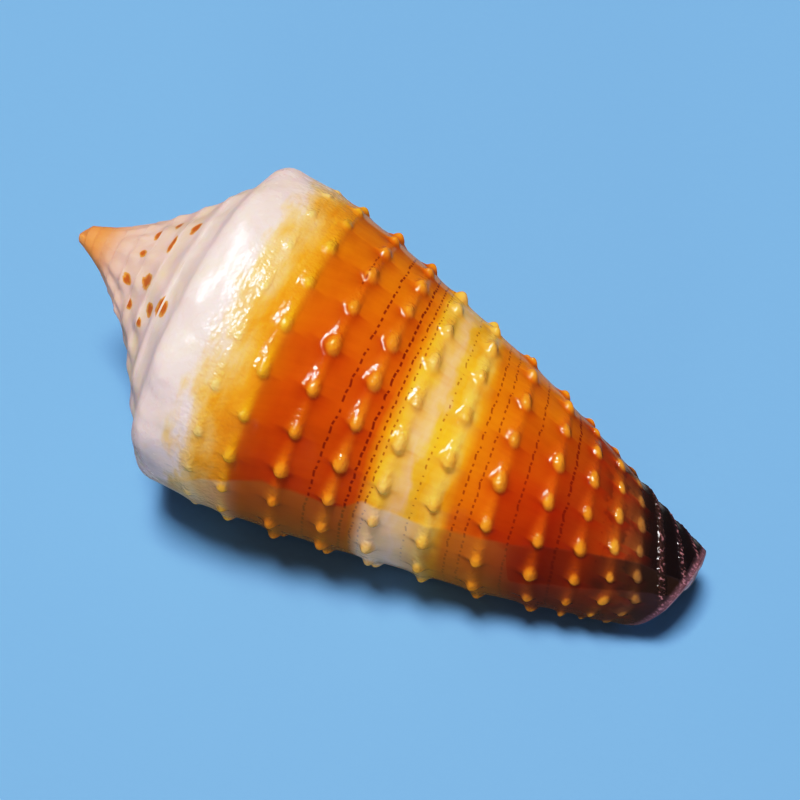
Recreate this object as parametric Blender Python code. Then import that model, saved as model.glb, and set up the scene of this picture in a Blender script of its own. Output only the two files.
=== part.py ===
"""Pustulose cone shell, lying on its aperture as one closed solid.

Metres, +Z up. The pointed spire is toward -X and the narrow front end toward +X.
The outside is one whorl profile carried along a spiral from the tip of the spire to the lip.
Turns are counted from the lip, which is turn 0, so everything older has a negative turn.
"""
import math

import bmesh
import bpy
import numpy as np

MM = 0.001

# Growth of the whorl: shoulder corner at the lip, and how it shrinks back toward the tip
SHOULDER_X = 10.44
SHOULDER_RISE = 1.8
SHOULDER_SLOWING = 0.073
SPIRE_GROWTH = 0.33
LATE_GROWTH = 0.116
BODY_GROWTH = 1.276
LENGTH_GROWTH = 1.382
TIP_TURN = -9.25

# Side of the last whorl at the lip: distance from the tip along the axis, radius
PROFILE = (
    (9.50, 9.54),
    (9.90, 10.08),
    (10.49, 10.48),
    (11.24, 10.71),
    (12.42, 10.79),
    (14.11, 10.73),
    (16.38, 10.38),
    (19.35, 9.83),
    (22.42, 9.18),
    (25.29, 8.51),
    (28.26, 7.81),
    (31.63, 7.05),
    (34.70, 6.15),
    (37.37, 5.31),
    (39.45, 4.64),
    (41.13, 4.05),
    (43.21, 3.28),
    (44.99, 2.63),
    (46.68, 2.18),
    (48.36, 1.79),
    (51.5, 1.56),
    (56.5, 1.50),
    (89.0, 1.50),
)

# Rows of pustules: axis distance, height, degrees between pustules, angle of one pustule
PUSTULE_ROWS = (
    (14.11, 0.15, 17.0, 21.0),
    (16.28, 0.32, 16.0, -38.0),
    (19.35, 0.45, 15.6, 8.0),
    (22.42, 0.45, 16.0, 12.0),
    (25.19, 0.45, 17.5, 12.0),
    (28.26, 0.45, 20.0, 9.0),
    (31.53, 0.43, 21.0, 28.0),
    (34.70, 0.38, 21.5, 26.0),
    (37.27, 0.30, 21.5, 21.0),
    (39.35, 0.22, 21.5, 11.0),
    (41.03, 0.15, 20.0, 5.0),
)
PUSTULE_HALF_WIDTH = 0.5
RIDGE_SHARE = 0.3

# Low lumps round the edge of each whorl of the spire
SHOULDER_LUMPS = 13
LUMP_HEIGHT = 0.16
RAMP_SAG = 0.12

# Angle of the lip round the axis, from the direction that lies upward in front
LIP_ANGLE = 104.0

# Front end: how far it reaches, and how much the lip corner is cut back
FRONT_X = 41.4
LIP_CORNER = 2.2
CORNER_TURNS = 0.13

# Hollow behind the lip
LIP_THICKNESS = 0.7
WALL_THICKNESS = 1.2
HOLLOW_TURNS = 0.75
PILLAR_GAP = 0.25

# Resting pose on the aperture
ROLL = 115.93
PITCH = 11.98

# Mesh steps
COLUMNS = 66
FINE_TURNS = 2
SUTURE_Z = 10.5
INNER_SUTURE_Z = 12.4
BACK_STEP = 6


def smooth(x):
    """Ease from 0 to 1."""
    x = np.clip(x, 0.0, 1.0)
    return x * x * (3.0 - 2.0 * x)


def profile_radius(z):
    """Smooth curve through the profile points."""
    xs, ys = np.array(PROFILE).T
    slope = np.diff(ys) / np.diff(xs)
    same = slope[:-1] * slope[1:] > 0.0
    total = np.where(same, slope[:-1] + slope[1:], 1.0)
    tangent = np.zeros(len(ys))
    tangent[1:-1] = np.where(same, 2.0 * slope[:-1] * slope[1:] / total, 0.0)
    tangent[0] = slope[0]
    tangent[-1] = slope[-1]
    i = np.clip(np.searchsorted(xs, z) - 1, 0, len(xs) - 2)
    step = xs[i + 1] - xs[i]
    s = (z - xs[i]) / step
    ends = ys[i] * (1 + 2 * s) * (1 - s) ** 2 + ys[i + 1] * s * s * (3 - 2 * s)
    return ends + step * (tangent[i] * s * (1 - s) ** 2 - tangent[i + 1] * s * s * (1 - s))


def shoulder_x(turn):
    return SHOULDER_X + SHOULDER_RISE * turn + SHOULDER_SLOWING * turn * turn


def shoulder_scale(turn):
    return np.exp(SPIRE_GROWTH * turn + LATE_GROWTH * (1.0 - np.exp(turn)))


def radius_scale(z, turn):
    """Size of the whorl at this turn against its size at the lip."""
    body = smooth((z - 12.0) / 10.0)
    return np.exp((1.0 - body) * np.log(shoulder_scale(turn)) + body * turn * math.log(BODY_GROWTH))


def axis_x(z, turn):
    return shoulder_x(turn) + (z - SHOULDER_X) * LENGTH_GROWTH**turn


def front_x(turn):
    """Where the shell ends in front, cut back at the lip corner."""
    return FRONT_X - LIP_CORNER * np.exp(turn / CORNER_TURNS)


def front_z(turn):
    """The same end as a distance along the profile."""
    return SHOULDER_X + (front_x(turn) - shoulder_x(turn)) / LENGTH_GROWTH**turn


def in_space(x, radius, turn):
    angle = math.radians(LIP_ANGLE) + 2.0 * math.pi * turn
    return np.array((x, radius * math.cos(angle), radius * math.sin(angle)))


def row_of(z):
    """The pustule row at this distance, or nothing."""
    for row in PUSTULE_ROWS:
        if abs(row[0] - z) < 1e-6:
            return row
    return None


def nearest_row(z):
    return min(PUSTULE_ROWS, key=lambda row: abs(row[0] - z))


def pustule_phase(row, turn):
    """Distance along the row in pustules: whole numbers are pustules."""
    return (LIP_ANGLE + 360.0 * turn - row[3]) / row[2]


def snapped_turn(z, column):
    """The turn of this column on this row, slid so that a column meets each pustule."""
    turn = column / COLUMNS
    row = nearest_row(z)
    if abs(row[0] - z) > 1.0 or column >= 0 or column <= -COLUMNS:
        return turn
    phase = pustule_phase(row, turn)
    below = math.floor(phase)
    step = row[2] / 360.0
    first = turn - (phase - below) * step
    a = round(first * COLUMNS)
    b = round((first + step) * COLUMNS)
    if a < -COLUMNS or b > 0:
        return turn
    share = (column - a) / (b - a)
    return first + share * step


def pustule_lift(row, turn):
    """Height of the row here: a ridge that rises to each pustule and ends there."""
    phase = pustule_phase(row, turn)
    part = phase - math.floor(phase + 0.06)
    knob = max(0.0, 1.0 - abs(phase - round(phase)) / 0.12)
    ridge = RIDGE_SHARE * max(0.0, part)
    fade = float(smooth((turn + 1.0) / 0.08))
    return row[1] * fade * max(knob, ridge)


def lump_lift(z, turn):
    """Low lumps on the shoulder."""
    near = math.exp(-(((z - 10.6) / 1.1) ** 2))
    size = float(smooth((turn + 6.5) / 2.5))
    swell = 0.6 + 0.5 * float(smooth(-turn / 2.0))
    wave = math.cos(2.0 * math.pi * SHOULDER_LUMPS * turn + 0.6 * math.sin(9.0 * turn))
    return LUMP_HEIGHT * near * size * (swell + wave) / float(shoulder_scale(turn))


def profile_rows():
    """Rows from the edge of the ramp to the front end, as distances along the profile."""
    rows = [9.9, SUTURE_Z, 11.4, INNER_SUTURE_Z]
    for number, row in enumerate(PUSTULE_ROWS):
        if number == 0:
            rows.append(row[0])
            continue
        rows.append(row[0] - PUSTULE_HALF_WIDTH)
        rows.append(row[0])
        rows.append(row[0] + PUSTULE_HALF_WIDTH)
    return rows


NOMINAL = profile_rows()
FRONT_STEPS = (0.2, 0.4, 0.6, 0.8, 1.0)
SQUEEZE_FROM = 35.0
RAMP_ROWS = 3
SUTURE_ROW = RAMP_ROWS + NOMINAL.index(SUTURE_Z)
INNER_ROW = RAMP_ROWS + NOMINAL.index(INNER_SUTURE_Z)
LAST_ROW = RAMP_ROWS + len(NOMINAL) + len(FRONT_STEPS) - 1
FIRST_COLUMN = round(TIP_TURN * COLUMNS)
FINE_COLUMN = -FINE_TURNS * COLUMNS
HOLLOW_COLUMNS = BACK_STEP * round(HOLLOW_TURNS * COLUMNS / BACK_STEP)


def row_place(row, turn):
    """Nominal and real distance along the profile of a row past the ramp."""
    last = NOMINAL[-1]
    front = float(front_z(turn))
    limit = min(last, front - 1.2)
    number = row - RAMP_ROWS
    if number >= len(NOMINAL):
        share = FRONT_STEPS[number - len(NOMINAL)]
        return last + 1.0, limit + (front - limit) * share
    nominal = NOMINAL[number]
    if nominal <= SQUEEZE_FROM:
        return nominal, nominal
    share = (nominal - SQUEEZE_FROM) / (last - SQUEEZE_FROM)
    return nominal, SQUEEZE_FROM + (limit - SQUEEZE_FROM) * share


def outer_section(row, turn):
    """Axis distance and radius of a row past the ramp."""
    nominal, z = row_place(row, turn)
    pustules = row_of(nominal)
    lift = pustule_lift(pustules, turn) if pustules else 0.0
    lift += lump_lift(z, turn)
    radius = (profile_radius(z) + lift) * radius_scale(z, turn)
    return axis_x(z, turn), float(radius)


def ramp_section(start, share, turn):
    """Axis distance and radius on the slightly sunken ramp between suture and shoulder."""
    x, radius = start[0], math.hypot(start[1], start[2])
    end_x, end_radius = outer_section(RAMP_ROWS, turn)
    along_x = end_x - x
    along_radius = end_radius - radius
    sag = RAMP_SAG * math.sin(math.pi * share) * float(smooth((turn + 5.0) / 3.0))
    return x + along_x * share + along_radius * sag, radius + along_radius * share - along_x * sag


class Shell:
    """Corners and faces of the shell while it is put together."""

    def __init__(self):
        self.corners = []
        self.faces = []
        self.outer = {}
        self.inner = {}

    def corner(self, point):
        self.corners.append(point)
        return len(self.corners) - 1

    def face(self, *ids):
        """One face, without corners that repeat."""
        kept = [v for n, v in enumerate(ids) if v != ids[n - 1]]
        if len(set(kept)) > 2:
            self.faces.append(kept)

    def strip(self, first, second):
        """Triangles between two chains of corners of unlike length."""
        i = 0
        j = 0
        while i < len(first) - 1 or j < len(second) - 1:
            ahead_first = (i + 1) * (len(second) - 1)
            ahead_second = (j + 1) * (len(first) - 1)
            if j == len(second) - 1 or (i < len(first) - 1 and ahead_first <= ahead_second):
                self.face(first[i], second[j], first[i + 1])
                i += 1
            else:
                self.face(first[i], second[j], second[j + 1])
                j += 1


def step_at(column):
    return 1 if column >= FINE_COLUMN else 2


def add_outer(shell):
    """Corners of the outside, from the tip of the spire to the lip."""
    tip = shell.corner(in_space(float(shoulder_x(TIP_TURN)) - 0.12, 0.0, 0.0))
    hidden = range(-COLUMNS - HOLLOW_COLUMNS, -COLUMNS, BACK_STEP)
    for column in range(FIRST_COLUMN, 1):
        turn = column / COLUMNS
        behind = column - COLUMNS
        shell.outer[0, column] = shell.outer.get((SUTURE_ROW, behind), tip)
        last = SUTURE_ROW
        if column in hidden or column >= -COLUMNS:
            last = LAST_ROW
        for row in range(1, last + 1):
            if column == FIRST_COLUMN and row < SUTURE_ROW:
                shell.outer[row, column] = tip
                continue
            if row < RAMP_ROWS:
                start = shell.corners[shell.outer[0, column]]
                x, radius = ramp_section(start, row / RAMP_ROWS, turn)
                shell.outer[row, column] = shell.corner(in_space(x, radius, turn))
                continue
            nominal = row_place(row, turn)[0]
            slid = snapped_turn(nominal, column)
            x, radius = outer_section(row, slid)
            shell.outer[row, column] = shell.corner(in_space(x, radius, slid))


def section(shell, row, column):
    point = shell.corners[shell.outer[row, column]]
    return np.array((point[0], math.hypot(point[1], point[2])))


def pillar_radius(x, turn):
    """Radius of the older whorl at this distance along the axis."""
    z = SHOULDER_X + (x - shoulder_x(turn)) / LENGTH_GROWTH**turn
    return float(profile_radius(max(z, PROFILE[0][0])) * radius_scale(z, turn))


def add_inner(shell):
    """Corners of the inside of the outer wall, behind the lip."""
    rows = list(range(1, LAST_ROW, 3)) + [LAST_ROW]
    for column in range(-HOLLOW_COLUMNS, 1, BACK_STEP):
        turn = column / COLUMNS
        wall = LIP_THICKNESS + (WALL_THICKNESS - LIP_THICKNESS) * float(smooth(-turn / HOLLOW_TURNS))
        ids = [shell.outer[INNER_ROW, column - COLUMNS]]
        for row in rows:
            before = section(shell, max(row - 1, 0), column)
            after = section(shell, min(row + 1, LAST_ROW), column)
            along = (after - before) / np.linalg.norm(after - before)
            inward = np.array((along[1], -along[0]))
            if row == LAST_ROW:
                inward = np.array((0.0, -1.0))
            if row < RAMP_ROWS:
                here = section(shell, row, column)
            else:
                nominal, z = row_place(row, turn)
                radius = float(profile_radius(z) * radius_scale(z, turn))
                here = np.array((axis_x(z, turn), radius))
            inside = here + inward * wall
            inside[1] = max(inside[1], pillar_radius(inside[0], turn - 1.0) + PILLAR_GAP)
            ids.append(shell.corner(in_space(inside[0], inside[1], turn)))
        shell.inner[column] = ids


def add_outer_faces(shell):
    """Faces of the outside, and of the older whorl that floors the hollow."""
    column = FIRST_COLUMN
    while column < 0:
        step = step_at(column)
        ahead = column + step
        last = LAST_ROW if column >= -COLUMNS else SUTURE_ROW
        for row in range(last):
            ids = [shell.outer[row, column], shell.outer[row, ahead], shell.outer[row + 1, ahead]]
            if row + 1 == SUTURE_ROW and step == 2 and column + COLUMNS >= FINE_COLUMN:
                ids.append(shell.outer[row + 1, column + 1])
            ids.append(shell.outer[row + 1, column])
            shell.face(*ids)
        column = ahead
    for column in range(-COLUMNS - HOLLOW_COLUMNS, -COLUMNS, BACK_STEP):
        ahead = column + BACK_STEP
        for row in range(INNER_ROW, LAST_ROW):
            here = shell.outer[row, column]
            below = shell.outer[row + 1, column]
            shell.face(here, shell.outer[row, ahead], shell.outer[row + 1, ahead], below)


def add_inner_faces(shell):
    for column in range(-HOLLOW_COLUMNS, 0, BACK_STEP):
        here = shell.inner[column]
        ahead = shell.inner[column + BACK_STEP]
        for row in range(len(here) - 1):
            shell.face(here[row], here[row + 1], ahead[row + 1], ahead[row])


def edge_corner(shell, outside, inside, away):
    """Corner of the rounded edge between the outside and the inside of the wall."""
    a = shell.corners[outside]
    b = shell.corners[inside]
    return shell.corner((a + b) / 2.0 + away * 0.3 * np.linalg.norm(a - b))


def add_lip(shell):
    """Rounded edge of the lip, and of the front end as far as the hollow reaches."""
    outside = [shell.outer[row, 0] for row in range(LAST_ROW + 1)]
    inside = shell.inner[0]
    edge = [shell.outer[SUTURE_ROW + 1, -COLUMNS]]
    growth = in_space(0.0, 1.0, 0.25)
    for row in range(1, LAST_ROW + 1):
        nearest = inside[round(row * (len(inside) - 1) / LAST_ROW)]
        away = growth if row < LAST_ROW else (growth + np.array((1.0, 0.0, 0.0))) / 1.4
        edge.append(edge_corner(shell, outside[row], nearest, away))
    for row in range(LAST_ROW):
        shell.face(outside[row], edge[row], edge[row + 1], outside[row + 1])
    shell.strip(edge, inside)
    front = np.array((1.0, 0.0, 0.0))
    columns = list(range(-HOLLOW_COLUMNS, 1))
    outside = [shell.outer[LAST_ROW, column] for column in columns]
    inside = [shell.inner[column][-1] for column in columns if column % BACK_STEP == 0]
    rim = []
    for number, column in enumerate(columns[:-1]):
        nearest = inside[round(number / BACK_STEP)]
        rim.append(edge_corner(shell, outside[number], nearest, front))
    rim.append(edge[-1])
    for number in range(len(columns) - 1):
        shell.face(outside[number], outside[number + 1], rim[number + 1], rim[number])
    shell.strip(inside, rim)
    return rim[0]


def close_back(shell, rim_start):
    """Far wall of the hollow and the closed end of the central pillar."""
    deep = -HOLLOW_COLUMNS
    floor = [shell.outer[row, deep - COLUMNS] for row in range(INNER_ROW, LAST_ROW + 1)]
    shell.strip(shell.inner[deep], floor)
    loop = [shell.outer[LAST_ROW, column] for column in range(deep - COLUMNS, -COLUMNS, BACK_STEP)]
    loop += [shell.outer[LAST_ROW, column] for column in range(-COLUMNS, deep + 1)]
    loop += [rim_start, shell.inner[deep][-1]]
    centre = np.mean([shell.corners[v] for v in loop], axis=0)
    centre[0] = FRONT_X + 0.1
    middle = shell.corner(centre)
    for number in range(len(loop)):
        shell.face(loop[number], loop[(number + 1) % len(loop)], middle)


def rest_pose():
    """Turn that lays the shell on its aperture."""
    roll = math.radians(ROLL)
    pitch = math.radians(PITCH)
    about_axis = np.array(
        ((1, 0, 0), (0, math.cos(roll), -math.sin(roll)), (0, math.sin(roll), math.cos(roll)))
    )
    about_side = np.array(
        ((math.cos(pitch), 0, math.sin(pitch)), (0, 1, 0), (-math.sin(pitch), 0, math.cos(pitch)))
    )
    return about_side @ about_axis


def laid_down(corners):
    """Corners in metres, resting on z = 0 with the origin under the middle of the shell."""
    points = np.array(corners) @ rest_pose().T
    low = points.min(axis=0)
    high = points.max(axis=0)
    middle = (low + high) / 2.0
    return (points - np.array((middle[0], middle[1], low[2]))) * MM


def glaze():
    """Glossy natural shell."""
    material = bpy.data.materials.new("glazed_shell")
    material.use_nodes = True
    bsdf = material.node_tree.nodes["Principled BSDF"]
    bsdf.inputs["Base Color"].default_value = (0.85, 0.42, 0.12, 1.0)
    bsdf.inputs["Roughness"].default_value = 0.2
    bsdf.inputs["Coat Weight"].default_value = 0.6
    return material


def clear_scene():
    for obj in list(bpy.data.objects):
        bpy.data.objects.remove(obj, do_unlink=True)


def make_shell():
    shell = Shell()
    add_outer(shell)
    add_inner(shell)
    add_outer_faces(shell)
    add_inner_faces(shell)
    rim_start = add_lip(shell)
    close_back(shell, rim_start)
    used = sorted({v for face in shell.faces for v in face})
    place = {v: n for n, v in enumerate(used)}
    points = laid_down([shell.corners[v] for v in used])
    faces = [[place[v] for v in face] for face in shell.faces]
    surface = bmesh.new()
    corners = [surface.verts.new(point) for point in points]
    for face in faces:
        surface.faces.new([corners[v] for v in face])
    mesh = bpy.data.meshes.new("shell")
    surface.to_mesh(mesh)
    surface.free()
    mesh.shade_smooth()
    mesh.materials.append(glaze())
    obj = bpy.data.objects.new("shell", mesh)
    bpy.context.scene.collection.objects.link(obj)
    return obj


clear_scene()
make_shell()
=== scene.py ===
# %% [markdown]
# # A glazed cone shell with beaded ridges
#
# A cone shell is a tube that a snail widens as it winds it round an axis.
# The outside is therefore one curve, the whorl profile, repeated at every turn in a new size.
# The packed model gives the place, the size and the collision shape.
# This script makes the surface that is seen, with beads, cords and colour as fine as on the real
# shell.

# %% Load the frame
import math

import bpy
import numpy as np
from mathutils import Matrix, Vector


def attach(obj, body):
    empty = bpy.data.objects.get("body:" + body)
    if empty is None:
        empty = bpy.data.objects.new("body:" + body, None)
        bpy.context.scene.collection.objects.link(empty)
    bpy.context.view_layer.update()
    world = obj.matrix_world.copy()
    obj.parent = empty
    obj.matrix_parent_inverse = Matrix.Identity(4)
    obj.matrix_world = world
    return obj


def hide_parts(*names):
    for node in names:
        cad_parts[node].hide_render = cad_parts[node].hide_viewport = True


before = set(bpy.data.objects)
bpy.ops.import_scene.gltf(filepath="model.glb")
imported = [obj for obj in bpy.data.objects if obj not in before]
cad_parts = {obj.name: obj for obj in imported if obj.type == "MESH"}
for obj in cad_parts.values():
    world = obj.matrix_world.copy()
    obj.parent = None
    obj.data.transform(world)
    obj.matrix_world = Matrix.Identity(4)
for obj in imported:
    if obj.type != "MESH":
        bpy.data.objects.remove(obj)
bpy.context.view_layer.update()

# %% [markdown]
# The side of the last whorl is a smooth curve through a few points.
# Each point is a distance from the tip along the axis and a radius, in millimetres.
# A spline object could hold the curve, but it has to be read at any distance and for any size of
# whorl.
# A cubic worked out on arrays does that, and with limited tangents it never bulges between
# points.

# %% Whorl profile
PROFILE = (
    (9.50, 9.54),
    (9.90, 10.08),
    (10.49, 10.48),
    (11.24, 10.71),
    (12.42, 10.79),
    (14.11, 10.73),
    (16.38, 10.38),
    (19.35, 9.83),
    (22.42, 9.18),
    (25.29, 8.51),
    (28.26, 7.81),
    (31.63, 7.05),
    (34.70, 6.15),
    (37.37, 5.31),
    (39.45, 4.64),
    (41.13, 4.05),
    (43.21, 3.28),
    (44.99, 2.63),
    (46.68, 2.18),
    (48.36, 1.79),
    (51.5, 1.56),
    (56.5, 1.50),
    (89.0, 1.50),
)


def smooth(x):
    """Ease from 0 to 1."""
    x = np.clip(x, 0.0, 1.0)
    return x * x * (3.0 - 2.0 * x)


def profile_radius(along):
    """Radius of the whorl at the lip, at this distance along the profile."""
    xs, ys = np.array(PROFILE).T
    slope = np.diff(ys) / np.diff(xs)
    same = slope[:-1] * slope[1:] > 0.0
    total = np.where(same, slope[:-1] + slope[1:], 1.0)
    tangent = np.zeros(len(ys))
    tangent[1:-1] = np.where(same, 2.0 * slope[:-1] * slope[1:] / total, 0.0)
    tangent[0] = slope[0]
    tangent[-1] = slope[-1]
    i = np.clip(np.searchsorted(xs, along) - 1, 0, len(xs) - 2)
    step = xs[i + 1] - xs[i]
    s = (along - xs[i]) / step
    ends = ys[i] * (1 + 2 * s) * (1 - s) ** 2 + ys[i + 1] * s * s * (3 - 2 * s)
    return ends + step * (tangent[i] * s * (1 - s) ** 2 - tangent[i + 1] * s * s * (1 - s))


print("widest radius, mm:", round(float(profile_radius(np.linspace(10, 40, 300)).max()), 2))

# %% [markdown]
# Growth: the lip is turn 0, and everything older has a negative turn.
# A pure exponential would make a spire of straight sides.
# This shell starts with a narrow drawn-out tip and then spreads, so the shoulder follows its own
# gentle curve.

# %% Growth along the spiral
SHOULDER_X = 10.44
SHOULDER_RISE = 1.8
SHOULDER_SLOWING = 0.073
SPIRE_GROWTH = 0.33
LATE_GROWTH = 0.116
BODY_GROWTH = 1.276
LENGTH_GROWTH = 1.382
TIP_TURN = -9.25
LIP_ANGLE = 104.0
FRONT_X = 41.4
LIP_CORNER = 2.2
CORNER_TURNS = 0.13


def shoulder_x(turn):
    return SHOULDER_X + SHOULDER_RISE * turn + SHOULDER_SLOWING * turn * turn


def shoulder_scale(turn):
    return np.exp(SPIRE_GROWTH * turn + LATE_GROWTH * (1.0 - np.exp(turn)))


def radius_scale(along, turn):
    """Size of the whorl at this turn against its size at the lip."""
    body = smooth((along - 12.0) / 10.0)
    return np.exp((1.0 - body) * np.log(shoulder_scale(turn)) + body * turn * math.log(BODY_GROWTH))


def axis_x(along, turn):
    return shoulder_x(turn) + (along - SHOULDER_X) * LENGTH_GROWTH**turn


def front_along(turn):
    """Where the shell ends in front, as a distance along the profile."""
    end = FRONT_X - LIP_CORNER * np.exp(turn / CORNER_TURNS)
    return SHOULDER_X + (end - shoulder_x(turn)) / LENGTH_GROWTH**turn


def in_space(x, radius, turn):
    """Points round the axis, which lies along X."""
    angle = math.radians(LIP_ANGLE) + 2.0 * math.pi * turn
    return np.stack(np.broadcast_arrays(x, radius * np.cos(angle), radius * np.sin(angle)), axis=-1)


print("shoulder radius one turn back, mm:", round(float(10.48 * shoulder_scale(-1.0)), 2))

# %% [markdown]
# Beads: the mantle edge of the snail lays down a cord that swells slowly and then stops at a
# round bead.
# Each bead is a small dome, with a low ridge that climbs to it from the older side.
# A separate sphere for each bead would leave a hard joint, so the beads are heights added to the
# radius.
# A row below gives its place, the height of its beads, the degrees from bead to bead, and where
# one bead is.

# %% Rows of beads
BEAD_ROWS = (
    (14.11, 0.15, 17.0, 21.0),
    (16.28, 0.32, 16.0, -38.0),
    (19.35, 0.45, 15.6, 8.0),
    (22.42, 0.45, 16.0, 12.0),
    (25.19, 0.45, 17.5, 12.0),
    (28.26, 0.45, 20.0, 9.0),
    (31.53, 0.43, 21.0, 28.0),
    (34.70, 0.38, 21.5, 26.0),
    (37.27, 0.30, 21.5, 21.0),
    (39.35, 0.22, 21.5, 11.0),
    (41.03, 0.15, 20.0, 5.0),
)
FRONT_CORDS = ((42.6, 0.24), (44.15, 0.22), (45.65, 0.2), (47.1, 0.16))
FRONT_CORD_WIDTH = 0.36
FRONT_NODULE_TURNS = 0.0212
TALLEST_BEAD = 0.45
BEAD_RADIUS = 0.43
BEAD_TAIL = 0.55
RIDGE_SHARE = 0.5
RIDGE_BACK = 0.58
RIDGE_FRONT = 0.36
CORD_HEIGHT = 0.07


def bead_phase(row, turn):
    """Distance along the row in beads: whole numbers are beads."""
    return (LIP_ANGLE + 360.0 * turn - row[3]) / row[2]


def bead_fields(nominal, along, turn):
    """Height of the relief, and how much of each point is bead, ridge and hollow behind a bead."""
    height = np.zeros(np.broadcast(nominal, turn).shape)
    bead = height.copy()
    ridge = height.copy()
    hollow = height.copy()
    fade = smooth((turn + 1.0) / 0.08)
    radius = profile_radius(along) * radius_scale(along, turn)
    for number, row in enumerate(BEAD_ROWS):
        row_at, lift, spacing = row[:3]
        phase = bead_phase(row, turn)
        nearest = np.round(phase)
        size = 1.0 + 0.14 * np.sin(nearest * 2.4 + number * 1.7)
        across = (nominal - row_at) * LENGTH_GROWTH**turn
        round_axis = (phase - nearest) * math.radians(spacing) * radius
        reach = BEAD_RADIUS * size * (0.55 + 0.45 * lift / TALLEST_BEAD)
        tail = round_axis * np.where(round_axis < 0.0, BEAD_TAIL, 1.0)
        dome = np.clip(1.0 - (across**2 + tail**2) / reach**2, 0.0, 1.0) ** 0.8
        climb = phase - np.floor(phase)
        rise = np.maximum(climb**1.3, 1.0 - smooth(climb / 0.12))
        side = np.exp(-((across / np.where(across < 0.0, RIDGE_BACK, RIDGE_FRONT)) ** 2))
        swell = (dome**3 + (RIDGE_SHARE * side * rise) ** 3) ** (1.0 / 3.0)
        cord = side * CORD_HEIGHT * (lift / TALLEST_BEAD)
        height += fade * (lift * size * swell + cord)
        bead = np.maximum(bead, dome * fade)
        ridge = np.maximum(ridge, side * (0.3 + 0.7 * rise) * fade)
        # The hollow behind each bead also places painted shade past it in the glaze.
        after = np.exp(-((climb * spacing / 7.0) ** 2))
        hollow = np.maximum(hollow, after * np.exp(-((across / 0.95) ** 2)) * (1.0 - dome) * fade)
    for middle, lift in FRONT_CORDS:
        side = np.exp(-(((along - middle) / FRONT_CORD_WIDTH) ** 2))
        beat = np.sin(2.0 * math.pi * (turn / FRONT_NODULE_TURNS + middle * 1.7))
        beat = beat + np.sin(2.0 * math.pi * (turn / (FRONT_NODULE_TURNS * 0.61) + middle * 3.1))
        nodule = 0.85 + 0.08 * beat
        edge = smooth((front_along(turn) - along) / 1.4)
        height += lift * side * nodule * fade * (0.3 + 0.7 * edge)
        ridge = np.maximum(ridge, side * nodule)
    return height, bead, ridge, hollow


print("rows of beads:", len(BEAD_ROWS))

# %% [markdown]
# The spire: the edge of each older whorl carries low lumps, and the ramp between them sinks a
# little.
# Both are gentle, so they are again heights and depths on the same surface and not separate
# pieces.

# %% Lumps on the shoulder and the sunken ramp
SHOULDER_LUMPS = 13
LUMP_HEIGHT = 0.15
RAMP_SAG = 0.06
SUTURE_ALONG = 10.5
SHOULDER_ALONG = 9.9
SQUEEZED_FROM = 35.0
LAST_BEADED = BEAD_ROWS[-1][0] + 0.5
FRONT_SPAN = 6.0


def lump_height(along, turn):
    near = np.exp(-(((along - 10.6) / 1.1) ** 2))
    size = smooth((turn + 6.5) / 2.5)
    swell = 0.6 + 0.5 * smooth(-turn / 2.0)
    beat = 2.0 * math.pi * SHOULDER_LUMPS * turn
    wave = np.cos(beat + 1.6 * np.sin(9.0 * turn) + np.sin(23.0 * turn))
    return LUMP_HEIGHT * near * size * (swell + wave) / shoulder_scale(turn)


def squeezed(nominal, turn):
    """Real distance along the profile of a row: rows draw together where the lip is cut back."""
    front = front_along(turn)
    limit = np.minimum(LAST_BEADED, front - 1.2)
    share = (nominal - SQUEEZED_FROM) / (LAST_BEADED - SQUEEZED_FROM)
    near = SQUEEZED_FROM + (limit - SQUEEZED_FROM) * share
    beyond = limit + (front - limit) * (nominal - LAST_BEADED) / FRONT_SPAN
    along = np.where(nominal <= SQUEEZED_FROM, nominal, near)
    return np.where(nominal > LAST_BEADED, beyond, along)


def side_section(nominal, turn):
    """Axis distance and radius of the side of the whorl, with what the shader needs to know."""
    along = squeezed(nominal, turn)
    height, bead, ridge, hollow = bead_fields(nominal, along, turn)
    height = height + lump_height(along, turn)
    radius = (profile_radius(along) + height) * radius_scale(along, turn)
    return axis_x(along, turn), radius, along, bead, ridge, hollow


def ramp_section(share, turn):
    """Axis distance and radius on the ramp, from the suture to the edge of the shoulder."""
    at_suture = np.maximum(turn - 1.0, TIP_TURN)
    start_x, start_radius = side_section(np.full_like(turn, SUTURE_ALONG), at_suture)[:2]
    tip = turn - 1.0 < TIP_TURN
    start_x = np.where(tip, shoulder_x(TIP_TURN) - 0.12, start_x)
    start_radius = np.where(tip, 0.0, start_radius)
    end_x, end_radius = side_section(np.full_like(turn, SHOULDER_ALONG), turn)[:2]
    along_x = end_x - start_x
    along_radius = end_radius - start_radius
    sag = RAMP_SAG * np.sin(math.pi * share) * smooth((turn + 5.0) / 3.0)
    x = start_x + along_x * share + along_radius * sag
    return x, start_radius + along_radius * share - along_x * sag


print("lumps on a turn of the shoulder:", SHOULDER_LUMPS)

# %% [markdown]
# The mesh is a grid: rows run along the spiral and columns run from the suture to the front.
# Rows lie close together across the beads and wider apart between them, so the faces go where the
# detail is.
# The older whorls of the spire are small and mostly covered, so they get fewer columns and only
# their upper rows.

# %% Rows of the grid
COLUMNS = 384
RAMP_STEPS = 6
RAMP_FROM = 8.4
RIM_WIDTH = 0.42
BEAD_MARGIN = 0.52
FINE_STEP = 0.13
WIDE_STEP = 0.42


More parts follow.
